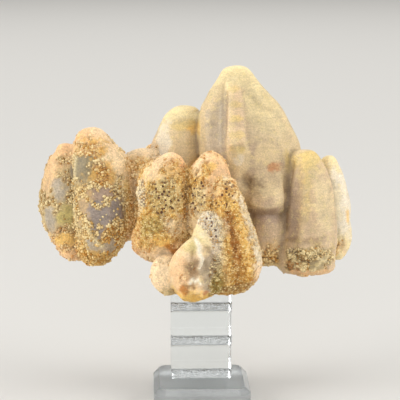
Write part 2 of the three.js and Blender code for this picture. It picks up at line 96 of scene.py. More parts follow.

# Each crystal: where its line starts at the tip and ends at the root, as shares of the cluster's
# box (across, back, up), its half width as a share of the box's width, the colours of its tip,
# body and foot, the colour between its grains, dark partly as painted shade in the gaps, and how
# much of it carries rice-like grains and how much of it sugar-like grains, 0 to 1.
CRYSTALS = {
    "main spear": (
        (0.62, 0.61, 1.0), (0.68, 0.58, 0.17), 0.165, ("cream", "velvet", "warm velvet"), "bark", 0, 0),
    "rib": (
        (0.62, 0.50, 0.96), (0.63, 0.36, 0.58), 0.06, ("cream", "warm velvet", "velvet"), "bark", 0, 0),
    "blunt shoulder": (
        (0.45, 0.68, 0.81), (0.47, 0.65, 0.17), 0.105, ("cream", "velvet", "velvet"), "bark", 0, 0),
    "right column": (
        (0.84, 0.43, 0.63), (0.85, 0.42, 0.08), 0.076,
        ("butter", "warm velvet", "warm velvet"), "green grey", 0, 0),
    "outer column": (
        (0.92, 0.58, 0.60), (0.95, 0.52, 0.12), 0.055, ("cream", "white bloom and painted highlight", "cream"), "bark", 0, 0),
    "front spear": (
        (0.54, 0.26, 0.65), (0.53, 0.31, 0.16), 0.07, ("peach", "honey", "sand"), "bark", 0, 1),
    "buttress": (
        (0.58, 0.20, 0.54), (0.61, 0.18, 0.06), 0.08, ("peach", "honey", "gold"), "bark", 0, 1),
    "pale wedge": (
        (0.53, 0.11, 0.35), (0.54, 0.10, 0.09), 0.045,
        ("white bloom and painted highlight", "white bloom and painted highlight", "olive"), "bark", 0, 0.9),
    "left front spear": (
        (0.42, 0.29, 0.64), (0.39, 0.32, 0.15), 0.074, ("peach", "honey", "peach"), "bark", 0, 1),
    "broken point": (
        (0.49, 0.07, 0.29), (0.48, 0.12, 0.0), 0.072, ("cream", "pale peach", "honey"), "bark", 0, 0),
    "low lobe": (
        (0.39, 0.18, 0.19), (0.41, 0.19, 0.02), 0.046,
        ("pale peach", "pale peach", "sand"), "gold", 0, 0.2),
    "left lobe": (
        (0.17, 0.51, 0.73), (0.19, 0.49, 0.12), 0.088, ("peach", "cream", "honey"), "tan", 0.8, 0.3),
    "far left lobe": (
        (0.08, 0.54, 0.66), (0.09, 0.52, 0.13), 0.07, ("peach", "sand", "peach"), "tan", 0.4, 0.2),
    "rear saddle": (
        (0.33, 0.59, 0.63), (0.33, 0.52, 0.23), 0.074,
        ("pale peach", "pale peach", "peach"), "gold", 0.3, 0.3),
    "upper ledge": (
        (0.71, 0.42, 0.62), (0.71, 0.40, 0.36), 0.065, ("velvet", "velvet", "mauve"), "bark", 0, 0),
    "lower ledge": (
        (0.72, 0.42, 0.34), (0.72, 0.41, 0.12), 0.05, ("mauve", "mauve", "sand"), "bark", 0, 0),
    "matrix": (
        (0.52, 0.56, 0.51), (0.52, 0.56, 0.06), 0.08, ("gold", "gold", "olive"), "umber", 0.35, 0.7),
    "rear right spear": (
        (0.77, 0.88, 0.72), (0.69, 0.61, 0.12), 0.083, ("cream", "velvet", "sand"), "bark", 0.1, 0.15),
    "rear left spear": (
        (0.37, 0.93, 0.62), (0.46, 0.61, 0.09), 0.083, ("peach", "honey", "gold"), "bark", 0.5, 0.7),
    "rear outer point": (
        (0.17, 0.75, 0.54), (0.24, 0.56, 0.24), 0.065, ("peach", "sand", "gold"), "tan", 0.7, 0.6),
    "rear low point": (
        (0.58, 0.98, 0.41), (0.59, 0.59, 0.09), 0.074, ("cream", "sand", "olive"), "bark", 0.35, 0.5),
}

# A place on a crystal is how far down it is, from 0 at the tip to 1 at the root, and the side it
# is on in degrees: 0 is the right, 90 the back, 180 the left and 270 the front.

# Stains, bare places, crusts, and some painted shade and painted light: the crystal, the middle,
# the reach across and down in mm, the colour and how much of it, and what is added to the rice
# and to the sugar there.
MARKS = {
    # the main spear, its rib and its ledges
    # partly grey colour, partly painted shade on the left-facing flank
    "grey flank": ("main spear", (0.36, 228), (5, 14), "grey velvet", 0.95, 0, 0),
    "yellow edge": ("main spear", (0.22, 318), (7, 11), "cream", 0.75, 0, 0),
    "grey face": ("main spear", (0.4, 292), (9, 8), "grey velvet", 0.35, 0, 0),
    # partly mauve colour, partly painted shade on the lower face
    "mauve face": ("main spear", (0.5, 280), (12, 7), "mauve", 0.6, 0, 0),
    "mauve ledge": ("upper ledge", (0.3, 285), (6, 4), "mauve", 0.35, 0, 0),
    "rust stain": ("upper ledge", (0.22, 330), (1.8, 1.8), "rust", 0.7, 0, 0),
    "top rung": ("rib", (0.16, 268), (3, 1.2), "butter", 0.6, 0, 0),
    "second rung": ("rib", (0.34, 268), (3.4, 1.2), "butter", 0.6, 0, 0),
    "third rung": ("rib", (0.5, 268), (3, 1.2), "butter", 0.8, 0, 0),
    "fourth rung": ("rib", (0.68, 268), (3.4, 1.2), "butter", 0.6, 0, 0),
    "lowest rung": ("rib", (0.84, 268), (3.4, 1.2), "butter", 0.9, 0, 0),
    "white foot of the rib": ("rib", (0.97, 256), (3, 2.2), "white bloom and painted highlight", 0.6, 0, 0),
    # painted shade in the pocket and painted shadow down the ledge's left side
    "pocket": ("upper ledge", (0.6, 192), (2.4, 3), "umber", 0.4, 0, 0),
    "brown of the pocket": ("upper ledge", (0.6, 198), (5, 5.4), "bark", 0.6, 0, 0),
    # painted shade under the upper ledge's lip
    "underside": ("upper ledge", (0.98, 270), (9, 1.6), "bark", 0.5, 0, 0),
    "shade under the ledge": ("lower ledge", (0.02, 270), (8, 3), "bark", 0.35, 0, 0),
    "crust under the ledges": ("lower ledge", (0.72, 270), (8, 4.6), "honey", 0.7, 0.75, 0.5),
    # the blunt shoulder
    "yellow band": ("blunt shoulder", (0.12, 275), (8, 2), "butter", 0.8, 0, 0),
    "orange end of the band": ("blunt shoulder", (0.15, 304), (3, 2), "honey", 0.7, 0, 0),
    # painted light on the lit left side, over a real whitish patch
    "white side": ("blunt shoulder", (0.24, 218), (3.4, 7), "white bloom and painted highlight", 0.8, 0, 0),
    "shaded side": ("blunt shoulder", (0.26, 322), (3, 8), "bark", 0.3, 0, 0),
    "cream cap": ("blunt shoulder", (0.03, 268), (7, 3), "cream", 0.6, 0, 0),
    "crust at its foot": ("blunt shoulder", (0.4, 222), (4, 2.4), "pale peach", 0.5, 0.3, 0),
    # the right column and the outer column
    "yellow ridge": ("right column", (0.3, 262), (3, 10), "butter", 0.7, 0, 0),
    "spear beside the column": ("right column", (-0.07, 140), (7, 6), "velvet", 1, 0, 0),
    # painted shadow of the main spear on the left facet, over its own mauve colour
    "mauve flank": ("right column", (0.44, 232), (4, 13), "mauve", 0.75, 0, 0),
    # painted light on the lit right facet, over its own cream colour
    "pale flank": ("right column", (0.4, 312), (5, 11), "cream", 0.55, 0, 0),
    "brown above the crust": ("right column", (0.7, 265), (8, 1.4), "bark", 0.45, 0, 0),
    "crust of the column": ("right column", (0.86, 258), (15, 5.6), "butter", 0.6, 0.75, 0.5),
    "orange in the crust": ("right column", (0.92, 238), (3, 2.4), "amber", 0.7, 0, 0),
    "clear place in the crust": ("right column", (0.9, 292), (2.8, 2), "green grey", 0.7, -1, -1),
    "peach rim": ("right column", (0.98, 275), (12, 1.6), "peach", 0.8, -0.5, -0.4),
    "cream front": ("outer column", (0.45, 268), (3, 8), "cream", 0.5, 0, 0),
    "gold foot of the outer column": ("outer column", (0.84, 254), (3, 4), "honey", 0.5, 0.5, 0.4),
    "rusty edge": ("outer column", (0.58, 325), (1.4, 2.4), "honey", 0.7, 0, 0),
    "flake": ("outer column", (0.86, 300), (2.6, 3), "rose", 0.4, 0, 0),
    # the front spear, the buttress and the wedge
    "cream crust, front spear": ("front spear", (0.42, 256), (6, 6), "cream", 0.7, 0, 0),
    "orange crust, front spear": ("front spear", (0.16, 268), (3.4, 2.4), "honey", 0.8, 0, 0),
    "peach side": ("front spear", (0.12, 215), (2.6, 5), "pale peach", 0.6, 0, -0.5),
    "pale low side": ("front spear", (0.6, 216), (4, 5), "pale peach", 0.7, 0, -0.2),
    "crusted head": ("buttress", (0.06, 268), (5, 3), "honey", 0.5, 0, 0.6),
    "orange run": ("buttress", (0.34, 272), (2.6, 2.4), "amber", 0.6, 0, 0),
    # partly amber colour, partly painted shade down the trough
    "amber run": ("buttress", (0.56, 280), (2, 8), "amber", 0.6, 0, -0.3),
    "gold right of the run": ("buttress", (0.4, 305), (3, 8), "honey", 0.6, 0, 0),
    # painted light on the buttress's lit right face
    "pale right edge": ("buttress", (0.56, 336), (3.6, 20), "white bloom and painted highlight", 0.8, 0, -0.5),
    # painted shade at the buttress's foot
    "dark foot": ("buttress", (0.98, 275), (9, 1.6), "bark", 0.4, 0.2, 0),
    "peach foot": ("buttress", (0.88, 330), (3, 3), "peach", 0.5, 0, -0.3),
    "white face": ("pale wedge", (0.34, 268), (7, 7), "white bloom and painted highlight", 0.95, 0, 0.1),
    "rosy bloom": ("pale wedge", (0.25, 262), (6, 9), "rose", 0.25, 0, 0),
    "grains on the wedge's tip": ("pale wedge", (-0.05, 268), (7, 6), "frost", 0.6, 0, 0.8),
    "left side of the wedge": ("pale wedge", (0.45, 200), (6, 9), "pale peach", 0.7, 0, 0.3),
    "white on the buttress": ("buttress", (0.44, 244), (3.4, 4), "white bloom and painted highlight", 0.45, 0, 0),
    "grey druse": ("pale wedge", (0.8, 285), (4, 6), "olive", 0.5, 0.1, 0),
    # the left front spear
    "white grains in the seam": ("left front spear", (0.42, 196), (3, 6), "frost", 0.8, 0.9, -0.6),
    "peach shoulder": ("left front spear", (0.14, 214), (4, 5), "pale peach", 0.7, 0, -0.8),
    "brown crown": ("left front spear", (0.16, 282), (3.4, 2.4), "gold", 0.6, 0, 0),
    "cream crust, left front spear": ("left front spear", (0.38, 274), (7, 6), "cream", 0.65, 0, 0),
    "olive flush": ("left front spear", (0.38, 250), (6, 5), "olive", 0.4, 0, 0),
    "olive middle": ("left front spear", (0.66, 236), (6, 5), "olive", 0.7, 0, 0),
    "honey below it": ("left front spear", (0.8, 240), (5, 3), "honey", 0.6, 0, 0),
    "peach band": ("left front spear", (0.62, 296), (5, 4), "pale peach", 0.8, 0, -0.3),
    "orange spot": ("left front spear", (0.76, 262), (3.6, 3), "honey", 0.8, 0, -0.5),
    "peach low edge": ("left front spear", (0.95, 236), (7, 2.6), "pale peach", 0.7, 0, -0.6),
    "amber hollow": ("left front spear", (0.86, 290), (3.4, 2.6), "amber", 0.9, 0, -0.6),
    "peach foot, left": ("left front spear", (1.02, 262), (5, 3), "peach", 0.7, 0, -0.6),
    # the broken point
    "crust above the broken point": ("broken point", (-0.3, 255), (7, 5), "white bloom and painted highlight", 0.7, 0, 0.6),
    "peach side of the broken point": ("broken point", (0.48, 230), (6, 6.4), "peach", 0.85, 0, 0.2),
    "yellow tip": ("broken point", (0.1, 255), (3.4, 3), "lemon", 0.5, 0, 0),
    "brown heart": ("broken point", (0.38, 272), (3.4, 4.6), "bark", 0.65, 0, 0),
    "clear flank": ("broken point", (0.5, 320), (3, 7), "grey velvet", 0.9, 0, 0),
    "yellow foot of the broken point": ("broken point", (0.9, 270), (7, 2.4), "honey", 0.7, 0, 0),
    "amber hollow, left": ("broken point", (0.74, 240), (1.5, 1.8), "amber", 0.9, 0, 0),
    "rust spot": ("broken point", (0.8, 318), (0.9, 0.9), "rust", 0.7, 0, 0),
    # the left lobe
    "peach right shoulder": ("left lobe", (0.2, 322), (6, 12), "pale peach", 0.8, -0.8, -0.3),
    "orange crown": ("left lobe", (0.14, 268), (5.4, 4), "gold", 0.9, 0.3, 0),
    "green face": ("left lobe", (0.29, 246), (4.4, 4.8), "green grey", 1, -1, -1),
    "orange crust": ("left lobe", (0.32, 292), (4.8, 4.4), "gold", 0.85, 0.3, 0),
    "bare face": ("left lobe", (0.6, 294), (6.6, 4.6), "slate", 1, -0.7, -1),
    "bare face, left": ("left lobe", (0.56, 262), (3, 3), "slate", 1, -0.72, -1),
    "bare face, above": ("left lobe", (0.45, 285), (5, 2), "mauve", 1, -0.7, -1),
    "bare face, below": ("left lobe", (0.74, 284), (3.6, 2.6), "slate", 1, -0.74, -1),
    "gold among the rice": ("left lobe", (0.5, 244), (3.4, 7), "honey", 0.4, 0, 0),
    "crust in the seam": ("left lobe", (0.56, 342), (4, 9), "butter", 0.7, 0.6, 0.6),
    "gold crust, low": ("left lobe", (0.76, 306), (4.4, 3.4), "gold", 0.9, 0.8, 0),
    "clear foot": ("left lobe", (0.86, 282), (4.6, 2.8), "pearl", 0.8, -1, -1),
    "gold foot": ("left lobe", (0.94, 258), (6, 3), "gold", 0.8, 0.2, 0),
    # the far left lobe and the saddle
    "peach rim, far left": ("far left lobe", (0.2, 215), (4, 9), "peach", 0.7, -0.6, -0.4),
    "bare face, far left": ("far left lobe", (0.38, 256), (2.8, 4.2), "pearl", 0.75, -0.9, -0.9),
    "bare face, low": ("far left lobe", (0.64, 228), (2.2, 4.8), "pearl", 0.75, -0.9, -0.9),
    "yellow flush": ("far left lobe", (0.6, 276), (3.4, 4.4), "lemon", 0.7, -0.5, 0),
    "orange flush": ("far left lobe", (0.8, 262), (4.4, 3.6), "honey", 0.8, -0.3, 0),
    "crust of the saddle": ("rear saddle", (0.75, 270), (8, 7), "honey", 0.5, 0.3, 0.6),
    "gold clusters": ("rear saddle", (0.18, 262), (5, 3), "honey", 0.4, 0.3, 0),
}

# Places where the ground between the grains is another colour: the crystal, the middle, the
# reach across and down in mm, the colour and how much of it.
GROUND = (
    ("left lobe", (0.1, 268), (9, 8), "peach", 0.85), ("left lobe", (0.34, 294), (5, 6), "amber", 0.5),
    ("left lobe", (0.92, 262), (8, 5), "gold", 0.5), ("far left lobe", (0.15, 255), (6, 7), "peach", 0.7),
    ("right column", (0.86, 250), (7, 3), "sand", 0.4),
)

# Creases and ridges drawn over the skin: the crystal, the half width and height in mm, the
# colour and how much of it, and the places that the line runs through.
LINES = {
    # the main spear and what stands round it
    # the dark in this groove and in the next step is painted shade
    "groove left of the rib": (
        "main spear", 0.8, -0.6, "bark", 0.5, ((0.14, 248), (0.3, 246), (0.44, 248))),
    "soft step right of the rib": (
        "main spear", 0.9, -0.3, "bark", 0.3, ((0.14, 276), (0.28, 275), (0.44, 275))),
    "ridge on the grey flank": (
        "main spear", 0.6, 0.25, "white bloom and painted highlight", 0.25, ((0.2, 234), (0.46, 236))),
    # painted highlight on the rib's left edge
    "rib's left edge": ("rib", 0.8, 0.35, "cream", 0.35, ((0.12, 226), (0.5, 226), (0.95, 230))),
    # painted shade in a faint groove
    "line across the right face": (
        "main spear", 0.8, -0.15, "bark", 0.2, ((0.14, 288), (0.18, 302), (0.23, 314), (0.25, 326))),
    # painted shade in the groove between the shoulder and the main spear
    "groove beside the spear": (
        "blunt shoulder", 1.1, -0.5, "bark", 0.5, ((0.05, 336), (0.14, 330), (0.28, 326))),
    "shade left of the column": (
        "right column", 1, -0.5, "bark", 0.55, ((0.1, 202), (0.3, 206), (0.62, 210))),
    # painted shade in the pocket's crevice
    "crevice of the pocket": (
        "upper ledge", 1.2, -0.4, "umber", 0.4, ((0.46, 208), (0.56, 198), (0.68, 186))),
    # painted highlight on the lip
    "lip of the upper ledge": (
        "upper ledge", 0.8, 0.2, "cream", 0.25,
        ((0.82, 226), (0.88, 244), (0.9, 270), (0.86, 300), (0.82, 318))),
    # the buttress, the front spears and the wedge
    # painted rim light on the buttress's head
    "rim of the buttress's head": (
        "buttress", 0.7, 0.5, "cream", 0.4,
        ((0.12, 226), (0.05, 245), (0.03, 270), (0.06, 295), (0.14, 315))),
    # partly amber colour, partly painted shade in the trough
    "trough of the buttress": (
        "buttress", 1.6, -0.9, "amber", 0.3, ((0.32, 270), (0.5, 278), (0.7, 282), (0.94, 282))),
    "ridge right of the trough": (
        "buttress", 0.9, 0.5, "honey", 0.5, ((0.32, 296), (0.55, 300), (0.9, 302))),
    "ridge left of the trough": (
        "buttress", 0.8, 0.5, "sand", 0.4, ((0.34, 250), (0.6, 252), (0.92, 254))),
    "groove between the spears": (
        "left front spear", 0.9, -0.5, "amber", 0.45, ((0.1, 322), (0.3, 320), (0.55, 318))),
    "left edge of the wedge": (
        "pale wedge", 0.8, 0.5, "white bloom and painted highlight", 0.6, ((0.08, 226), (0.3, 220), (0.52, 216))),
    # the broken point
    "hook": (
        "broken point", 0.55, 1.1, "frost", 1,
        ((0.02, 290), (0.1, 298), (0.18, 293), (0.26, 302), (0.35, 300), (0.4, 290))),
    # painted shade in the crease at the right edge
    "right edge of the broken point": (
        "broken point", 0.6, -0.5, "bark", 0.5, ((0.1, 326), (0.3, 332), (0.6, 340), (0.9, 346))),
    # painted shade under the chips
    "step on the broken point": (
        "broken point", 0.6, -0.5, "bark", 0.35, ((0.66, 238), (0.7, 250), (0.66, 262), (0.7, 272))),
    "chips on the broken point": (
        "broken point", 0.6, 1, "frost", 1,
        ((0.62, 258), (0.56, 266), (0.6, 276), (0.55, 284), (0.62, 292))),
    # the left lobe
    "diagonal ridge": ("left lobe", 0.6, 0.9, "cream", 1, ((0.7, 254), (0.78, 266), (0.84, 280))),
    "left edge of the green face": (
        "left lobe", 0.6, 0.4, "cream", 0.6, ((0.21, 226), (0.3, 224), (0.38, 226))),
    "pale seam of the lobes": (
        "left lobe", 0.8, 0.3, "cream", 0.5, ((0.18, 222), (0.34, 220), (0.55, 222), (0.7, 224))),
    "dark seam by the crust": (
        "left lobe", 0.6, -0.4, "bark", 0.6, ((0.48, 318), (0.6, 320), (0.72, 322))),
    # the right column and the outer column
    "ridge of the column": (
        "right column", 1, 0.35, "butter", 0.25, ((0.12, 262), (0.4, 258), (0.7, 250))),
    "crust chain, left": (
        "right column", 0.5, 0.6, "cream", 0.8, ((0.78, 222), (0.82, 230), (0.86, 236), (0.92, 240))),
    "crust chain, middle": (
        "right column", 0.5, 0.6, "cream", 0.8,
        ((0.8, 252), (0.77, 262), (0.81, 272), (0.77, 282), (0.78, 294))),
    "crust chain, low": (
        "right column", 0.5, 0.6, "cream", 0.7, ((0.9, 244), (0.93, 262), (0.94, 280), (0.88, 292))),
    "crust chain, right": (
        "right column", 0.5, 0.6, "cream", 0.8, ((0.84, 290), (0.88, 304), (0.8, 318))),
    "dark band in the crust": (
        "right column", 0.9, -0.6, "bark", 0.6, ((0.78, 240), (0.86, 256), (0.86, 276))),
    "inner edge of the outer column": (
        "outer column", 0.6, 0.4, "white bloom and painted highlight", 0.6, ((0.25, 236), (0.5, 232), (0.8, 236))),
    "rim of the flake": (
        "outer column", 0.6, 0.6, "cream", 0.8, ((0.76, 280), (0.78, 300), (0.86, 306), (0.94, 290))),
}

# Where the sugar crust is pitted, where the grains lie level, where the skin is eased to a softer
# shape and where it is broken in chips: the crystal, the middle and the reach across and down in
# mm.
PITTED = (
    ("left front spear", (0.36, 268), (9, 7)), ("front spear", (0.34, 252), (8, 8)),
    ("buttress", (0.16, 262), (6, 5)), ("pale wedge", (0.1, 262), (4, 6)),
    ("left lobe", (0.55, 232), (3, 10)), ("left lobe", (0.52, 314), (3, 6)),
)
LEVEL = (
    ("pale wedge", (0.7, 280), (6, 9)), ("buttress", (0.6, 290), (9, 14)),
    ("left front spear", (0.64, 250), (7, 5)),
)
EASED = (
    ("main spear", (0.24, 282), (5, 13)), ("rib", (0.03, 270), (5, 3)), ("rib", (0.9, 272), (4, 4)),
    ("upper ledge", (0.25, 262), (10, 8)),
)
BROKEN = (
    ("left lobe", (0.98, 270), (20, 5)), ("broken point", (0.88, 270), (14, 5)),
    ("broken point", (0.45, 288), (4, 5)), ("right column", (0.99, 270), (24, 4)),
    ("outer column", (0.85, 290), (10, 7)),
)

# The druse's pieces: where each starts and ends, as shares of the cluster's box from its left.
DRUSE_PIECES = (
    ("druse_far_left", -0.1, 0.2), ("druse_left", 0.2, 0.37), ("druse_middle", 0.37, 0.5),
    ("druse_front", 0.5, 0.6), ("druse_right", 0.6, 1.1),
)
# The grains' shapes, a unit long: how slim each is, and how much its ends are pinched in.
GRAIN_SHAPES = (("grain_slim", 0.6, 0.5), ("grain_round", 0.8, 0.35), ("grain_stubby", 0.72, 0.2))

# How colours and grains set in. Each pair is where a change starts and where it is done. By the
# way down a crystal, 0 to 1: its colours, then its rice-like and its sugar-like grains.
TIP_TO_BODY = (0.04, 0.22)
BODY_TO_FOOT = (0.62, 0.92)
RICE_SETS_IN = (0.05, 0.18)
SUGAR_SETS_IN = (0.02, 0.14)
# By how much of a point is a crystal's own: what is marked on that crystal shows there.
MARKS_SHOW = (0.03, 0.3)
# By the distance from the middle of a mark, 1 at its edge: of a stain, a crust or the ground, of
# a bare face, and of the places in PITTED, LEVEL, EASED and BROKEN.
STAIN_EDGE = (1.25, 0.55)
BARE_EDGE = (1.1, 0.85)
PLACE_EDGE = (1.1, 0.7)
# By how thickly grains grow, 0 to 1: single grains here and there, then dense rice and dense
# sugar; grains thinner than the last pair give no crust.
SINGLE_GRAINS = (0.01, 0.06)
DENSE_RICE = (0.3, 0.55)
DENSE_SUGAR = (0.2, 0.6)
THIN_CRUST = (0.02, 0.1)

# A mark that adds this to the sugar is a bare face. One that adds this or less to the rice leaves
# the grains that still grow there their own colour.
ALL_SUGAR_OFF = -1
MOST_RICE_OFF = -0.7
# A crystal with less sugar than this is velvety, with level growth lines; the others are sandy.
SANDY = 0.18
# How sharply the skin is shared out among the crystals: the more, the narrower the seams.
SHARING = 12.0

# How many times the skin is averaged to round it, and how many times more for the broad shape,
# which eased places take, and which hollows and ridges are told from.
ROUNDING = 12
BROADENING = 50
# How far a point lies below or above the broad shape where a hollow or ridge is at its full, and
# how far the whole skin is raised to make up for the rounding, in mm.
FULL_HOLLOW = 0.55
SKIN_RISE = 0.1

# The pits of the spongy crust, about 1.3 mm from one to the next. The material, the relief and the
# scatter of grains all draw them with this pattern, so that all three agree.
PITS = {"Scale": 1.0 / (1.3 * MM), "Randomness": 1.0}
# Its lumps, 1.3 mm across, are drawn alike by all three too.
LUMPS = {"Scale": 1.0 / (1.3 * MM), "Detail": 1.0}

# How far a grain leans and turns at most, in radians, the length of the shortest as a share of
# the longest, and the angle in degrees up to which its edges are shown smooth.
GRAIN_LEAN = 0.9
GRAIN_TURN = 3.1
SHORTEST_GRAIN = 0.55
GRAIN_SMOOTHING = 50


def settings():
    return bpy.context.scene.specimen


# ---- meshes ---------------------------------------------------------------------------------

def only(piece):
    """Selects one piece and nothing else."""
    bpy.ops.object.select_all(action="DESELECT")
    bpy.context.view_layer.objects.active = piece
    piece.select_set(True)


def merged_copy(node_name, name):
    """A copy of a CAD node with its loose triangles joined."""
    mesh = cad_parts[node_name].data.copy()
    mesh.name = name
    piece = bpy.data.objects.new(name, mesh)
    bpy.context.scene.collection.objects.link(piece)
    only(piece)
    bpy.ops.object.mode_set(mode="EDIT")
    bpy.ops.mesh.select_all(action="SELECT")
    bpy.ops.mesh.remove_doubles(threshold=1e-6)
    bpy.ops.object.mode_set(mode="OBJECT")
    mesh.materials.clear()
    return piece


def apply_modifier(piece, kind, **values):
    """Adds a modifier to a piece, sets it, and applies it."""
    only(piece)
    modifier = piece.modifiers.new(kind.title(), kind)
    for key, value in values.items():
        setattr(modifier, key, value)
    bpy.ops.object.modifier_apply(modifier=modifier.name)


def vertex_vectors(mesh, key):
    """The places ("co") or normals ("normal") of all vertices."""
    values = np.empty(len(mesh.vertices) * 3, np.float32)
    mesh.vertices.foreach_get(key, values)
    return values.reshape(-1, 3).astype(float)


def move_to(mesh, points):
    """Moves a mesh's vertices to points."""
    mesh.vertices.foreach_set("co", points.astype(np.float32).ravel())
    mesh.update()


def relaxed(mesh, values, rounds):
    """Values at the vertices, each averaged with its neighbours' for some rounds."""
    edges = np.empty(len(mesh.edges) * 2, np.int32)
    mesh.edges.foreach_get("vertices", edges)
    starts, ends = edges.reshape(-1, 2).T
    count = len(mesh.vertices)
    neighbours = np.bincount(starts, minlength=count) + np.bincount(ends, minlength=count)
    neighbours = np.maximum(neighbours, 1)
    values = values.copy()
    for _ in range(rounds):
        for axis in range(values.shape[1]):
            column = values[:, axis]
            near = (np.bincount(starts, column[ends], count)
                    + np.bincount(ends, column[starts], count))
            values[:, axis] = 0.5 * column + 0.5 * near / neighbours
    return values


def ragged(points_mm, length_mm, shift=0.0):
    """Noise from about -1 to 1 whose blotches are about length_mm across."""
    return np.array([
        2.0 * noise.noise(Vector(place), noise_basis="PERLIN_ORIGINAL")
        for place in points_mm * (1.0 / length_mm) + (shift, 0.0, 0.0)
    ])


def smooth_step(low, high, values):
    """0 at low, 1 at high, and a smooth rise between; low may be the greater."""
    way = np.clip((values - low) / (high - low), 0.0, 1.0)
    return way * way * (3.0 - 2.0 * way)


def blended(values, other, share):
    """Values mixed with others: a share of 0 leaves them, a share of 1 gives the others."""
    return values * (1 - share) + other * share


def store(mesh, name, values):
    """Keeps a value or a colour at each vertex, under a name that materials read."""
    if values.ndim == 1:
        layer = mesh.attributes.new(name, "FLOAT", "POINT")
        layer.data.foreach_set("value", values.astype(np.float32))
        return
    layer = mesh.attributes.new(name, "FLOAT_COLOR", "POINT")
    rgba = np.column_stack([values, np.ones(len(values))]).astype(np.float32)
    layer.data.foreach_set("color", rgba.ravel())


# ---- node trees -----------------------------------------------------------------------------

# Inputs that share a name are given by number. In a Map Range, 1 and 2 are the span that is read
# and 3 and 4 what it gives. In a Mix, 0 is the share, 2 and 3 are values and 6 and 7 colours.

def node(tree, kind, inputs=None, output=0, **values):
    """Adds a node with its settings, links or sets its inputs, and gives back one output."""
    made = tree.nodes.new(kind)
    for key, value in values.items():
        setattr(made, key, value)
    for key, value in (inputs or {}).items():
        if isinstance(value, bpy.types.NodeSocket):
            tree.links.new(value, made.inputs[key])
        else:
            made.inputs[key].default_value = value
    return made.outputs[output] if made.outputs else None


def new_material(name):
    material = bpy.data.materials.new(name)
    material.use_nodes = True
    material.node_tree.nodes.clear()
    return material


def stain_and_shade_mix(tree, colour, stain, pattern, start, full, least, most, where=1.0):
    """A colour under a stain, and also under painted shade where it darkens pits and valleys: least of
    it where the pattern is at start, most where it is at full, and none where the last share is 0."""
    amount = node(tree, "ShaderNodeMapRange", {0: pattern, 1: start, 2: full, 3: least, 4: most})
    share = node(tree, "ShaderNodeMath", {0: amount, 1: where}, operation="MULTIPLY")
    return node(tree, "ShaderNodeMix", {0: share, 6: colour, 7: stain}, 2, data_type="RGBA")


def shaded(tree, colour, pattern, start, full, first, last, where=1.0):
    """A colour made darker or lighter: times first where the pattern is at start, times last where
    it is at full, and left alone where the last share is 0."""
    tone = node(tree, "ShaderNodeMapRange", {0: pattern, 1: start, 2: full, 3: first, 4: last})
    tone = node(tree, "ShaderNodeMix", {0: where, 2: 1.0, 3: tone})
    return node(tree, "ShaderNodeVectorMath", {0: colour, "Scale": tone}, operation="SCALE")


# ---- materials ------------------------------------------------------------------------------

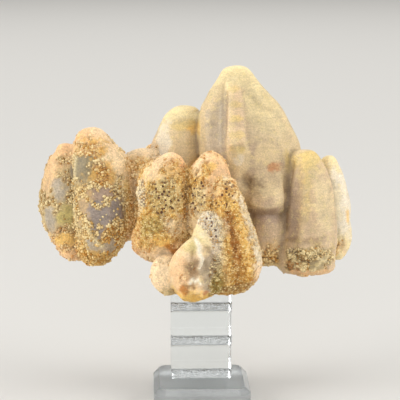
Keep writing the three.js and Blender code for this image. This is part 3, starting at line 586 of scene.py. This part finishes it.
def smithsonite_skin():
    """Smithsonite in blunt crystals: waxy and faintly see-through, so edges and tips glow, with a
    painted highlight on the ridges besides, a velvet of very fine growth lines on the clean faces
    and a sugary, pitted crust elsewhere."""
    material = new_material("smithsonite, waxy crystal faces")
    tree = material.node_tree
    place = node(tree, "ShaderNodeTexCoord", output="Object")
    zone = node(tree, "ShaderNodeAttribute", output="Color", attribute_name="zone_colour")
    crust, clean, relief, pitted = (
        node(tree, "ShaderNodeAttribute", output="Fac", attribute_name=name)
        for name in ("crust", "clean", "relief", "pitted"))
    sandy = node(tree, "ShaderNodeMath", {0: 1.0, 1: clean}, operation="SUBTRACT")

    # growth lines, level, 0.8 mm apart and some 5 mm long: really finer, drawn this coarse to show
    squeeze = node(tree, "ShaderNodeMapping", {
        "Vector": place, "Scale": (0.18 / MM, 0.18 / MM, 1.25 / MM)})
    lines = node(tree, "ShaderNodeTexNoise", {
        "Vector": squeeze, "Scale": 1.0, "Detail": 3.0, "Roughness": 0.6, "Distortion": 0.8})
    # velvet mottling, 0.5 mm across: really finer, drawn this coarse to show
    velvet = node(tree, "ShaderNodeTexNoise", {
        "Vector": place, "Scale": 1.0 / (0.5 * MM), "Detail": 2.0, "Roughness": 0.6})
    # blotches, 2 mm and 5 mm across
    blotch, cloud = (
        node(tree, "ShaderNodeTexNoise", {
            "Vector": place, "Scale": 1.0 / (size * MM), "Detail": 3.0, "Roughness": 0.55})
        for size in (2.0, 5.0))
    lumps = node(tree, "ShaderNodeTexNoise", {"Vector": place, **LUMPS})
    holes = node(tree, "ShaderNodeTexVoronoi", {"Vector": place, **PITS})
    # sugar grains, 1.7 to the millimetre, each of its own tone
    sugar = node(tree, "ShaderNodeTexVoronoi", {"Vector": place, "Scale": 1.7 / MM})
    grains = node(tree, "ShaderNodeSeparateColor", {0: sugar.node.outputs["Color"]})

    # greyer here and yellower there on the clean faces
    colour = stain_and_shade_mix(tree, zone, srgb("#9C8B78"), cloud, 0.42, 0.3, 0.0, 0.28, clean)
    colour = stain_and_shade_mix(tree, colour, srgb("#D0BC84"), blotch, 0.54, 0.7, 0.0, 0.5, clean)
    # lighter and darker all over, with the growth lines, the velvet, the grains and the lumps
    colour = shaded(tree, colour, cloud, 0.3, 0.7, 0.94, 1.06)
    colour = shaded(tree, colour, lines, 0.3, 0.7, 0.91, 1.09, clean)
    colour = shaded(tree, colour, velvet, 0.3, 0.7, 0.84, 1.18)
    colour = shaded(tree, colour, grains, 0.0, 1.0, 0.82, 1.16, sandy)
    # painted highlight on the crust's raised lumps and painted shade between them, where the relief
    # raises and sinks it
    colour = shaded(tree, colour, lumps, 0.35, 0.65, 0.7, 1.22, crust)
    # pits dark inside as painted shade in the holes, painted shade in the valleys, painted highlight on
    # the ridges
    colour = stain_and_shade_mix(tree, colour, srgb("#55280F"), holes, 0.44, 0.3, 0.0, 0.95, pitted)
    colour = stain_and_shade_mix(tree, colour, srgb("#5F4524"), relief, 0.15, 1.0, 0.0, 0.6)
    colour = shaded(tree, colour, relief, -0.1, -0.9, 1.0, 1.3)

    # relief finer than the mesh
    height = node(tree, "ShaderNodeMath", {
        0: node(tree, "ShaderNodeMath", {0: lines, 1: clean}, operation="MULTIPLY"),
        1: node(tree, "ShaderNodeMath", {0: sugar, 1: crust}, operation="MULTIPLY")},
        operation="SUBTRACT")
    coarse = node(tree, "ShaderNodeBump", {"Height": height, "Strength": 0.8, "Distance": 0.2 * MM})
    fine = node(tree, "ShaderNodeBump", {
        "Height": velvet, "Normal": coarse, "Strength": 0.8, "Distance": 0.2 * MM})
    shader = node(tree, "ShaderNodeBsdfPrincipled", {
        "Base Color": colour, "Normal": fine, "IOR": 1.62,
        "Roughness": node(tree, "ShaderNodeMapRange", {0: velvet, 1: 0.3, 2: 0.7, 3: 0.42, 4: 0.62}),
        "Specular IOR Level": 0.35, "Subsurface Weight": 0.2,
        "Subsurface Radius": (1.0, 0.8, 0.5), "Subsurface Scale": 0.6 * MM})
    node(tree, "ShaderNodeOutputMaterial", {"Surface": shader})
    return material


def druse_grains():
    """Smithsonite druse: rice-like and sugar-like grains, each a little paler or browner than the
    next, with glassy faces that give the crust its sparkle."""
    material = new_material("smithsonite druse, small grains")
    tree = material.node_tree
    zone = node(tree, "ShaderNodeAttribute", output="Color", attribute_name="grain_colour")
    tint = node(tree, "ShaderNodeAttribute", output="Fac", attribute_name="grain_tint")
    deep = node(tree, "ShaderNodeMix", {0: 1.0, 6: zone, 7: srgb("#E6C68C")}, 2,
                data_type="RGBA", blend_type="MULTIPLY")
    colour = stain_and_shade_mix(tree, deep, zone, tint, 0.15, 0.55, 0.0, 1.0)
    colour = stain_and_shade_mix(tree, colour, srgb("#F6E0A8"), tint, 0.45, 1.0, 0.0, 0.7)
    shader = node(tree, "ShaderNodeBsdfPrincipled", {
        "Base Color": colour, "Roughness": 0.42, "IOR": 1.62, "Specular IOR Level": 0.35})
    node(tree, "ShaderNodeOutputMaterial", {"Surface": shader})
    return material


def level_faces(tree):
    """How level a face lies, up or down: 1 where it is level, 0 where it is upright."""
    normal = node(tree, "ShaderNodeNewGeometry", output="Normal")
    upward = node(tree, "ShaderNodeSeparateXYZ", {0: normal}, "Z")
    return node(tree, "ShaderNodeMath", {0: upward}, operation="ABSOLUTE")


def clear_acrylic():
    """Cast acrylic blocks, sawn, flame-polished and cemented: clear as glass, with waves and cloudy
    streaks in the level faces where the cement dried."""
    material = new_material("cast acrylic, flame polished")
    tree = material.node_tree
    level = level_faces(tree)
    # waves about 2.4 mm long
    wave = node(tree, "ShaderNodeTexNoise", {
        "Vector": node(tree, "ShaderNodeTexCoord", output="Object"),
        "Scale": 0.42 / MM, "Detail": 2.0, "Roughness": 0.5, "Distortion": 1.2})
    height = node(tree, "ShaderNodeMath", {0: wave, 1: level}, operation="MULTIPLY")
    streaks = node(tree, "ShaderNodeMapRange", {0: wave, 1: 0.52, 2: 0.6, 3: 0.0, 4: 1.0})
    flat = node(tree, "ShaderNodeMath", {0: level, 1: 0.9}, operation="GREATER_THAN")
    cloudy = node(tree, "ShaderNodeMath", {0: streaks, 1: flat}, operation="MULTIPLY")
    rough, clarity = (
        node(tree, "ShaderNodeMapRange", {0: cloudy, 1: 0.0, 2: 1.0, 3: clear, 4: streaky})
        for clear, streaky in ((0.03, 0.35), (1.0, 0.6)))
    shader = node(tree, "ShaderNodeBsdfPrincipled", {
        "Normal": node(tree, "ShaderNodeBump", {
            "Height": height, "Strength": 0.7, "Distance": 0.5 * MM}),
        "Roughness": rough, "Transmission Weight": clarity,
        "Base Color": settings().acrylic_colour, "IOR": 1.49})
    node(tree, "ShaderNodeOutputMaterial", {"Surface": shader})
    return material


def frosted_acrylic():
    """The base plate's cast acrylic: polished sides and bevel, and a top and underside rubbed to a
    light frost by use."""
    material = new_material("cast acrylic, frosted top")
    tree = material.node_tree
    shader = node(tree, "ShaderNodeBsdfPrincipled", {
        "Roughness": node(tree, "ShaderNodeMapRange", {
            0: level_faces(tree), 1: 0.9, 2: 1.0, 3: 0.04, 4: 0.38}),
        "Base Color": settings().acrylic_colour, "IOR": 1.49, "Transmission Weight": 1.0})
    node(tree, "ShaderNodeOutputMaterial", {"Surface": shader})
    return material


def pale_paper():
    """Matte paper, pressed smooth: a plain pale sweep with no shine for the specimen to stand on."""
    material = new_material("matte paper sweep")
    tree = material.node_tree
    shader = node(tree, "ShaderNodeBsdfPrincipled", {
        "Base Color": settings().floor_colour, "Roughness": 0.9})
    node(tree, "ShaderNodeOutputMaterial", {"Surface": shader})
    return material


# ---- settings -------------------------------------------------------------------------------

class SpecimenSettings(bpy.types.PropertyGroup):
    """Sizes and colours that a user would change."""
    skin_detail: bpy.props.FloatProperty(
        name="Skin detail", description="Length of the skin mesh's edges", default=0.56 * MM,
        min=0.3 * MM, unit="LENGTH")
    rice_length: bpy.props.FloatProperty(
        name="Rice grain length", description="Length of the longest rice-like grains",
        default=1.5 * MM, min=0.3 * MM, unit="LENGTH")
    rice_gap: bpy.props.FloatProperty(
        name="Rice grain spacing", description="Least distance from one rice-like grain to the next",
        default=0.66 * MM, min=0.3 * MM, unit="LENGTH")
    sugar_length: bpy.props.FloatProperty(
        name="Sugar grain length", description="Length of the longest sugar-like grains",
        default=0.95 * MM, min=0.3 * MM, unit="LENGTH")
    sugar_gap: bpy.props.FloatProperty(
        name="Sugar grain spacing", description="Least distance from one sugar-like grain to the next",
        default=0.5 * MM, min=0.2 * MM, unit="LENGTH")
    stone_tint: bpy.props.FloatVectorProperty(
        name="Stone tint", description="Colour laid over the whole stone: white leaves it as it is",
        subtype="COLOR", size=3, min=0.0, max=1.0, default=(1.0, 1.0, 1.0))
    acrylic_colour: bpy.props.FloatVectorProperty(
        name="Acrylic colour", description="Colour of the clear acrylic", subtype="COLOR",
        size=4, min=0.0, max=1.0, default=srgb("#F1F5F6"))
    floor_colour: bpy.props.FloatVectorProperty(
        name="Floor colour", description="Colour of the floor", subtype="COLOR",
        size=4, min=0.0, max=1.0, default=srgb("#DCDAD6"))


# ---- the cluster ----------------------------------------------------------------------------

class Side:
    """Where the skin's points are on one crystal: how far down it, on which side of it, and how
    far from its line; and how much of each point is this crystal's own."""

    def __init__(self, points_mm, tip, root, half_width):
        tip, root = (CLUSTER_LOW + np.array(share) * CLUSTER_SIZE for share in (tip, root))
        line = root - tip
        self.length = np.linalg.norm(line)
        self.down = (points_mm - tip) @ line / self.length ** 2
        within = np.clip(self.down, 0.0, 1.0)[:, None]
        away = points_mm - tip - within * line
        self.turn = np.degrees(np.arctan2(away[:, 1], away[:, 0])) % 360.0
        self.radius = np.linalg.norm(away, axis=1)
        self.gap = self.radius / (half_width * CLUSTER_SIZE[0])
        self.own = None

    def across(self, turn):
        """How far round the crystal the points are from a side of it, in mm."""
        return np.radians((self.turn - turn + 180.0) % 360.0 - 180.0) * self.radius

    def from_mark(self, middle, reach):
        """How far the points are from the middle of a mark: 1 at its edge."""
        down, turn = middle
        return np.hypot(self.across(turn) / reach[0], (self.down - down) * self.length / reach[1])

    def from_line(self, places):
        """How far the points are from a line drawn on the crystal, in mm."""
        nearest = np.full(len(self.down), np.inf)
        for (down, turn), (next_down, next_turn) in zip(places, places[1:]):
            x, y = self.across(turn), (self.down - down) * self.length
            way_x = np.radians(next_turn - turn) * self.radius
            way_y = (next_down - down) * self.length
            share = np.clip((x * way_x + y * way_y) / (way_x ** 2 + way_y ** 2 + 1e-9), 0.0, 1.0)
            nearest = np.minimum(nearest, np.hypot(x - share * way_x, y - share * way_y))
        return nearest

    def shows(self):
        """How much of what is marked on this crystal shows at each point."""
        return smooth_step(*MARKS_SHOW, self.own)

    def along_line(self, places, width, amount):
        """An amount that is whole along a line drawn on the crystal, and fades off beside it."""
        return amount * np.exp(-(self.from_line(places) / width) ** 2) * self.shows()


def sides_of(points_mm):
    """The Side of each crystal, with the skin shared out among them."""
    sides = {name: Side(points_mm, *row[:3]) for name, row in CRYSTALS.items()}
    gaps = np.array([side.gap for side in sides.values()])
    weights = np.exp(-SHARING * (gaps - gaps.min(0)))
    for side, own in zip(sides.values(), weights / weights.sum(0)):
        side.own = own
    return sides


def marked(sides, places, edge=0.0):
    """How much of each point lies in any of the places."""
    return np.max([
        smooth_step(*PLACE_EDGE, sides[crystal].from_mark(middle, reach) + edge)
        * sides[crystal].shows()
        for crystal, middle, reach in places], 0)


def colour_of(name):
    """A colour of the stone, under the tint that is laid over it all."""
    return np.array(srgb(COLOURS[name])[:3]) * np.array(settings().stone_tint)


def coat_of_crystals(sides, wander, fray):
    """The colour, the colour between the grains, the rice, the sugar and the velvet that the
    crystals give each point, before any marks."""
    zone, floor = (np.zeros((len(wander), 3)) for _ in range(2))
    rice, sugar, velvet = (np.zeros(len(wander)) for _ in range(3))
    for name, (_, _, _, codes, between, rice_share, sugar_share) in CRYSTALS.items():
        own = sides[name].own
        tip, body, foot = (colour_of(code) for code in codes)
        edge = np.clip(sides[name].down, 0.0, 1.0) + 0.06 * wander + 0.03 * fray
        low = smooth_step(*TIP_TO_BODY, edge)[:, None]
        lower = smooth_step(*BODY_TO_FOOT, edge)[:, None]
        zone += own[:, None] * blended(blended(tip, body, low), foot, lower)
        floor += own[:, None] * colour_of(between)
        rice += own * rice_share * smooth_step(*RICE_SETS_IN, edge)
        sugar += own * sugar_share * smooth_step(*SUGAR_SETS_IN, edge)
        velvet += own * (sugar_share < SANDY)
    return zone, floor, rice, sugar, velvet


def paint_zones(mesh, sides):
    """Colours the skin crystal by crystal, then mark by mark, and stores the colours and where
    each kind of grain grows."""
    points = vertex_vectors(mesh, "co") / MM
    # two noises that make the edges of marks wander and fray, each by its factor
    wander = ragged(points, length_mm=3.0)
    fray = ragged(points, length_mm=1.1, shift=7.0)
    zone, floor, rice, sugar, velvet = coat_of_crystals(sides, wander, fray)
    grain = zone.copy()
    for crystal, middle, reach, colour, amount, rice_change, sugar_change in MARKS.values():
        edge, straying = (BARE_EDGE, 0.5) if sugar_change == ALL_SUGAR_OFF else (STAIN_EDGE, 0.3)
        away = sides[crystal].from_mark(middle, reach) + straying * wander + 0.22 * fray
        near = smooth_step(*edge, away) * sides[crystal].shows()
        share = (amount * near)[:, None]
        zone = blended(zone, colour_of(colour), share)
        if rice_change > MOST_RICE_OFF:
            grain = blended(grain, colour_of(colour), share)
        rice = np.clip(rice + rice_change * near, 0.0, 1.0)
        sugar = np.clip(sugar + sugar_change * near, 0.0, 1.0)
    for crystal, middle, reach, colour, amount in GROUND:
        near = smooth_step(*STAIN_EDGE, sides[crystal].from_mark(middle, reach) + 0.2 * wander)
        share = (amount * near * sides[crystal].shows())[:, None]
        floor = blended(floor, colour_of(colour), share)
    # single grains here and there where the rice thins out, dense clusters where it doesn't
    strewn = 0.1 * smooth_step(*SINGLE_GRAINS, rice)
    rice = (smooth_step(*DENSE_RICE, rice + 0.3 * wander + 0.2 * fray)
            * smooth_step(*THIN_CRUST, rice))
    sugar = (smooth_step(*DENSE_SUGAR, sugar + 0.25 * wander + 0.15 * fray)
             * smooth_step(*THIN_CRUST, sugar))
    crust = np.maximum(rice, sugar)
    # the ground shows between rice-like grains in a colour that is partly its own and partly painted
    # shade in the gaps, and it is darkened under sugar-like ones as painted shade
    zone = blended(zone, floor, (0.8 * rice)[:, None])
    zone *= (1 - 0.14 * sugar * (1 - rice))[:, None]
    for crystal, width, _, colour, amount, places in LINES.values():
        share = sides[crystal].along_line(places, width, amount)[:, None]
        zone = blended(zone, colour_of(colour), share)
        grain = blended(grain, colour_of(colour), share)
    values = {
        "zone_colour": zone, "grain_colour": grain,
        "rice": np.maximum(rice, strewn), "sugar": sugar * (1 - 0.7 * rice),
        "crust": crust, "clean": velvet * (1 - smooth_step(0.0, 0.6, crust)),
        "pitted": marked(sides, PITTED, 0.25 * wander) * sugar,
        "level": marked(sides, LEVEL, 0.2 * wander),
    }
    for name, value in values.items():
        store(mesh, name, value)


def geometry_tree(name):
    """A geometry node group with one geometry in and one out, and the geometry that goes in."""
    tree = bpy.data.node_groups.new(name, "GeometryNodeTree")
    tree.interface.new_socket("Geometry", in_out="INPUT", socket_type="NodeSocketGeometry")
    tree.interface.new_socket("Geometry", in_out="OUTPUT", socket_type="NodeSocketGeometry")
    return tree, node(tree, "NodeGroupInput")


def crust_relief():
    """Geometry nodes that raise the crust in lumps, sink its pits and break the rims in chips,
    along the normals."""
    tree, skin = geometry_tree("crust relief")
    place = node(tree, "GeometryNodeInputPosition")
    crust, rice, pitted, broken = (
        node(tree, "GeometryNodeInputNamedAttribute", {"Name": name}, data_type="FLOAT")
        for name in ("crust", "rice", "pitted", "broken"))
    # mounds of rice, 2.2 mm apart
    cells = node(tree, "ShaderNodeTexVoronoi", {"Vector": place, "Scale": 1.0 / (2.2 * MM)})
    lumps = node(tree, "ShaderNodeTexNoise", {"Vector": place, **LUMPS})
    holes = node(tree, "ShaderNodeTexVoronoi", {"Vector": place, **PITS})
    # chips, 3.2 mm across, each at its own height
    chips = node(tree, "ShaderNodeTexVoronoi", {"Vector": place, "Scale": 1.0 / (3.2 * MM)}, "Color")
    chip = node(tree, "FunctionNodeSeparateColor", {0: chips})
    # a slow swell of all the faces, 7 mm across
    swell = node(tree, "ShaderNodeTexNoise", {
        "Vector": place, "Scale": 1.0 / (7.0 * MM), "Detail": 1.0})
    height = node(tree, "ShaderNodeMapRange", {
        0: swell, 1: 0.3, 2: 0.7, 3: -0.1 * MM, 4: 0.25 * MM})
    parts = (
        (rice, {0: cells, 1: 0.0, 2: 0.7, 3: 0.25 * MM, 4: -0.15 * MM}),
        (crust, {0: lumps, 1: 0.3, 2: 0.7, 3: -0.35 * MM, 4: 0.35 * MM}),
        (pitted, {0: holes, 1: 0.2, 2: 0.45, 3: -0.4 * MM, 4: 0.0}),
        (broken, {0: chip, 1: 0.0, 2: 1.0, 3: -0.7 * MM, 4: 0.4 * MM}))
    for share, inputs in parts:
        rise = node(tree, "ShaderNodeMapRange", inputs)
        height = node(tree, "ShaderNodeMath", {0: share, 1: rise, 2: height},
                      operation="MULTIPLY_ADD")
    offset = node(tree, "ShaderNodeVectorMath", {
        0: node(tree, "GeometryNodeInputNormal"), "Scale": height}, operation="SCALE")
    moved = node(tree, "GeometryNodeSetPosition", {"Geometry": skin, "Offset": offset})
    node(tree, "NodeGroupOutput", {0: moved})
    return tree


class SPECIMEN_OT_cluster(bpy.types.Operator):
    """Makes the cluster's skin: rounds the solid's facets, grows lumps on it and paints its zones"""
    bl_idname = "specimen.cluster"
    bl_label = "Crystal cluster"

    def execute(self, context):
        skin = merged_copy("smithsonite", "cluster_skin")
        apply_modifier(skin, "REMESH", mode="VOXEL", voxel_size=settings().skin_detail)
        mesh = skin.data
        if not mesh.polygons:
            raise RuntimeError("the cluster's skin came out empty")
        points = relaxed(mesh, vertex_vectors(mesh, "co"), ROUNDING)
        broad = relaxed(mesh, points, BROADENING)
        sides = sides_of(points / MM)
        points += marked(sides, EASED)[:, None] * (broad - points)
        move_to(mesh, points)
        normals = vertex_vectors(mesh, "normal")
        # relief: how far each point lies in a hollow, above 0, or out on a ridge, below 0; from it the
        # skin's material paints shade in the hollows and a highlight on the ridges
        hollow = np.sum((broad - points) * normals, axis=1) / (FULL_HOLLOW * MM)
        store(mesh, "relief", np.clip(hollow, -1.0, 1.0))
        store(mesh, "broken", marked(sides, BROKEN))
        paint_zones(mesh, sides)
        height = np.full(len(points), SKIN_RISE)
        for crystal, width, rise, _, _, places in LINES.values():
            height += sides[crystal].along_line(places, width, rise)
        move_to(mesh, points + normals * height[:, None] * MM)
        apply_modifier(skin, "NODES", node_group=crust_relief())
        only(skin)
        bpy.ops.object.shade_smooth()
        skin.data.materials.append(smithsonite_skin())
        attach(skin, "root")
        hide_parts("smithsonite")
        return {"FINISHED"}


# ---- the druse ------------------------------------------------------------------------------

def grain_shape(name, slim, pinched):
    """One druse grain a unit long: a rounded lump drawn out along X, with its ends pinched in."""
    bpy.ops.object.select_all(action="DESELECT")
    bpy.ops.mesh.primitive_ico_sphere_add(subdivisions=1, radius=0.5)
    grain = bpy.context.object
    grain.name = name
    bpy.ops.object.mode_set(mode="EDIT")
    bpy.ops.mesh.select_all(action="SELECT")
    bpy.ops.transform.resize(value=(1.0, slim, slim))
    bpy.ops.object.mode_set(mode="OBJECT")
    for vertex in grain.data.vertices:
        pinch = 1.0 - pinched * abs(vertex.co.x)
        vertex.co.y *= pinch
        vertex.co.z *= pinch
    return grain


def scatter_tree(name, grains, start, end):
    """Geometry nodes that set grains on the skin between two places along X: long ones where the
    rice is, small ones where the sugar is. Each is sized, turned and tilted by chance, but turned
    and tilted less where the grains lie level. The pits stay bare."""
    tree, skin = geometry_tree(name)
    place = node(tree, "GeometryNodeInputPosition")
    rice, sugar, pitted, level = (
        node(tree, "GeometryNodeInputNamedAttribute", {"Name": key}, data_type="FLOAT")
        for key in ("rice", "sugar", "pitted", "level"))
    along = node(tree, "ShaderNodeSeparateXYZ", {0: place}, "X")
    after = node(tree, "ShaderNodeMath", {0: along, 1: start}, operation="GREATER_THAN")
    before = node(tree, "ShaderNodeMath", {0: along, 1: end}, operation="LESS_THAN")
    within = node(tree, "ShaderNodeMath", {0: after, 1: before}, operation="MULTIPLY")
    hole = node(tree, "ShaderNodeTexVoronoi", {"Vector": place, **PITS})
    hole = node(tree, "ShaderNodeMapRange", {0: hole, 1: 0.34, 2: 0.43, 3: -1.0, 4: 0.0})
    whole = node(tree, "ShaderNodeMath", {0: pitted, 1: hole, 2: 1.0}, operation="MULTIPLY_ADD")
    growing = node(tree, "ShaderNodeMath", {0: within, 1: whole}, operation="MULTIPLY")
    loose = node(tree, "ShaderNodeMapRange", {0: level, 1: 0.0, 2: 1.0, 3: 1.0, 4: 0.15})
    # grains are a little paler on the crust's raised lumps, a painted highlight
    lumps = node(tree, "ShaderNodeTexNoise", {"Vector": place, **LUMPS})
    paler = node(tree, "ShaderNodeMapRange", {0: lumps, 1: 0.35, 2: 0.65, 3: -0.3, 4: 0.3})
    # each kind: where it grows, how far apart and how long, its brownest and palest tint, its seed
    kinds = (
        (rice, settings().rice_gap, settings().rice_length, 0.25, 0.95, 4),
        (sugar, settings().sugar_gap, settings().sugar_length, 0.15, 0.95, 24))
    joined = node(tree, "GeometryNodeJoinGeometry")
    for share, gap, length, brownest, palest, seed in kinds:
        points = node(tree, "GeometryNodeDistributePointsOnFaces", {
            "Mesh": skin, "Distance Min": gap, "Density Max": 4.0 / gap ** 2, "Seed": seed,
            "Density Factor": node(tree, "ShaderNodeMath", {0: share, 1: growing},
                                   operation="MULTIPLY")},
            distribute_method="POISSON")
        tilt = node(tree, "FunctionNodeRandomValue", {
            0: (-GRAIN_LEAN, -GRAIN_LEAN, -GRAIN_TURN), 1: (GRAIN_LEAN, GRAIN_LEAN, GRAIN_TURN),
            "Seed": seed + 7}, data_type="FLOAT_VECTOR")
        tilt = node(tree, "ShaderNodeVectorMath", {0: tilt, "Scale": loose}, operation="SCALE")
        turned = node(tree, "FunctionNodeRotateRotation", {
            "Rotation": points.node.outputs["Rotation"], "Rotate By": tilt}, rotation_space="LOCAL")
        shapes = node(tree, "GeometryNodeGeometryToInstance")
        for grain in reversed(grains):
            shape = node(tree, "GeometryNodeObjectInfo", {"Object": grain}, "Geometry")
            tree.links.new(shape, shapes.node.inputs[0])
        placed = node(tree, "GeometryNodeInstanceOnPoints", {
            "Points": points, "Instance": shapes, "Rotation": turned, "Pick Instance": True,
            "Scale": node(tree, "FunctionNodeRandomValue", {
                2: SHORTEST_GRAIN * length, 3: length, "Seed": seed + 1}, 1, data_type="FLOAT")})
        chance = node(tree, "FunctionNodeRandomValue", {
            2: brownest, 3: palest, "Seed": seed + 4}, 1, data_type="FLOAT")
        tint = node(tree, "ShaderNodeMath", {0: chance, 1: paler}, operation="ADD")
        tinted = node(tree, "GeometryNodeStoreNamedAttribute", {
            "Geometry": placed, "Name": "grain_tint", "Value": tint},
            data_type="FLOAT", domain="INSTANCE")
        tree.links.new(tinted, joined.node.inputs[0])
    node(tree, "NodeGroupOutput", {
        0: node(tree, "GeometryNodeRealizeInstances", {"Geometry": joined})})
    return tree


class SPECIMEN_OT_druse(bpy.types.Operator):
    """Grows the druse: rice-like and sugar-like grains on the crusted parts of the skin"""
    bl_idname = "specimen.druse"
    bl_label = "Druse"

    def execute(self, context):
        skin = bpy.data.objects["cluster_skin"]
        grains = [grain_shape(*row) for row in GRAIN_SHAPES]
        material = druse_grains()
        for name, *shares in DRUSE_PIECES:
            start, end = ((CLUSTER_LOW[0] + share * CLUSTER_SIZE[0]) * MM for share in shares)
            druse = bpy.data.objects.new(name, skin.data.copy())
            druse.data.name = name
            bpy.context.scene.collection.objects.link(druse)
            apply_modifier(druse, "NODES", node_group=scatter_tree(name, grains, start, end))
            if not druse.data.polygons:
                raise RuntimeError(name + " didn't grow")
            druse.data.materials.clear()
            druse.data.materials.append(material)
            only(druse)
            bpy.ops.object.shade_smooth_by_angle(angle=math.radians(GRAIN_SMOOTHING))
            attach(druse, "root")
        for grain in grains:
            bpy.data.objects.remove(grain)
        return {"FINISHED"}


# ---- the riser ------------------------------------------------------------------------------

class SPECIMEN_OT_riser(bpy.types.Operator):
    """Gives the plate and the blocks of the riser their clear acrylic"""
    bl_idname = "specimen.riser"
    bl_label = "Clear riser"

    def execute(self, context):
        finishes = dict.fromkeys(("block_bottom", "block_middle", "block_top"), clear_acrylic())
        finishes["base_plate"] = frosted_acrylic()
        for name, material in finishes.items():
            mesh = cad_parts[name].data
            mesh.materials.clear()
            mesh.materials.append(material)
        return {"FINISHED"}


# ---- the stage ------------------------------------------------------------------------------

# The sweep's length, and how far it lies below the plate so that the two faces don't meet.
SWEEP_SIZE = 12.0
SWEEP_DROP = 0.2 * MM
# The soft boxes: where each stands, the point that it is turned towards, its size and its watts;
# and the even light of the room.
LIT_POINT = (0.0, 0.0, 0.07)
SOFT_BOXES = {
    "left soft box": ((-2.2, -0.72, 0.7), LIT_POINT, 1.6, 40.0),
    "right soft box": ((2.2, -0.72, 0.7), LIT_POINT, 1.6, 34.0),
    "top soft box": ((0.0, -0.1, 0.7), LIT_POINT, 0.45, 0.8),
    "front fill": ((-0.3, -2.7, 0.7), LIT_POINT, 1.8, 16.5),
    "far floor light": ((0.0, 1.8, 1.6), (0.0, 1.8, 0.0), 2.5, 16.0),
}
ROOM_COLOUR = "#F2F1EE"
ROOM_STRENGTH = 0.55

# The camera: what it aims at, in shares of the object's box, how many degrees it is above that
# and turned to the side, how many metres away, its lens and sensor in mm, and the least distance
# in metres at which it sees.
CAMERA_AIM = (0.5135, 0.653, 0.584)
CAMERA_ABOVE = 9.5
CAMERA_TURN = -1.8
CAMERA_AWAY = 0.5584
CAMERA_LENS = 144.0
CAMERA_SENSOR = 36.0
CAMERA_NEAREST = 0.01


def soft_box(name, place, aim, size, watts):
    """A square soft light, turned towards a point."""
    bpy.ops.object.light_add(type="AREA", location=place)
    lamp = bpy.context.object
    lamp.name = name
    lamp.data.shape = "SQUARE"
    lamp.data.size = size
    lamp.data.energy = watts
    lamp.rotation_euler = (Vector(aim) - Vector(place)).to_track_quat("-Z", "Y").to_euler()


class SPECIMEN_OT_stage(bpy.types.Operator):
    """Lays the pale sweep, sets soft lights round it and places the camera"""
    bl_idname = "specimen.stage"
    bl_label = "Stage"

    def execute(self, context):
        bpy.ops.object.select_all(action="DESELECT")
        bpy.ops.mesh.primitive_plane_add(size=SWEEP_SIZE, location=(0, 0, -SWEEP_DROP))
        sweep = context.object
        sweep.name = sweep.data.name = "sweep"
        bpy.ops.object.transform_apply(location=True)
        sweep.data.materials.append(pale_paper())

        for name, row in SOFT_BOXES.items():
            soft_box(name, *row)
        world = bpy.data.worlds.new("pale room")
        world.use_nodes = True
        room = world.node_tree.nodes["Background"].inputs
        room["Color"].default_value = srgb(ROOM_COLOUR)
        room["Strength"].default_value = ROOM_STRENGTH
        context.scene.world = world

        low, high = (Vector(corner) for corner in CAD_BOX)
        aim = low + Vector(CAMERA_AIM) * (high - low)
        bpy.ops.object.camera_add(rotation=(math.radians(90.0 - CAMERA_ABOVE), 0.0,
                                            math.radians(CAMERA_TURN)))
        camera = context.object
        camera.location = aim + camera.rotation_euler.to_matrix() @ Vector((0.0, 0.0, CAMERA_AWAY))
        camera.data.lens = CAMERA_LENS
        camera.data.sensor_width = CAMERA_SENSOR
        camera.data.clip_start = CAMERA_NEAREST
        context.scene.camera = camera
        context.scene.view_settings.view_transform = "Standard"
        return {"FINISHED"}


# ---- the panel and the run ------------------------------------------------------------------

STEPS = (SPECIMEN_OT_cluster, SPECIMEN_OT_druse, SPECIMEN_OT_riser, SPECIMEN_OT_stage)


class SPECIMEN_PT_panel(bpy.types.Panel):
    """Lists the specimen's settings and its pieces"""
    bl_idname = "SPECIMEN_PT_panel"
    bl_label = "Smithsonite specimen"
    bl_space_type = "VIEW_3D"
    bl_region_type = "UI"
    bl_category = "Specimen"

    def draw(self, context):
        layout = self.layout
        for name in SpecimenSettings.__annotations__:
            layout.prop(context.scene.specimen, name)
        for step in STEPS:
            layout.operator(step.bl_idname)


CLASSES = (SpecimenSettings, *STEPS, SPECIMEN_PT_panel)


def register():
    for one in CLASSES:
        bpy.utils.register_class(one)
    bpy.types.Scene.specimen = bpy.props.PointerProperty(type=SpecimenSettings)


def unregister():
    del bpy.types.Scene.specimen
    for one in reversed(CLASSES):
        bpy.utils.unregister_class(one)


def main():
    register()
    bpy.ops.specimen.cluster()
    bpy.ops.specimen.druse()
    bpy.ops.specimen.riser()
    bpy.ops.specimen.stage()


if __name__ == "__main__":
    main()
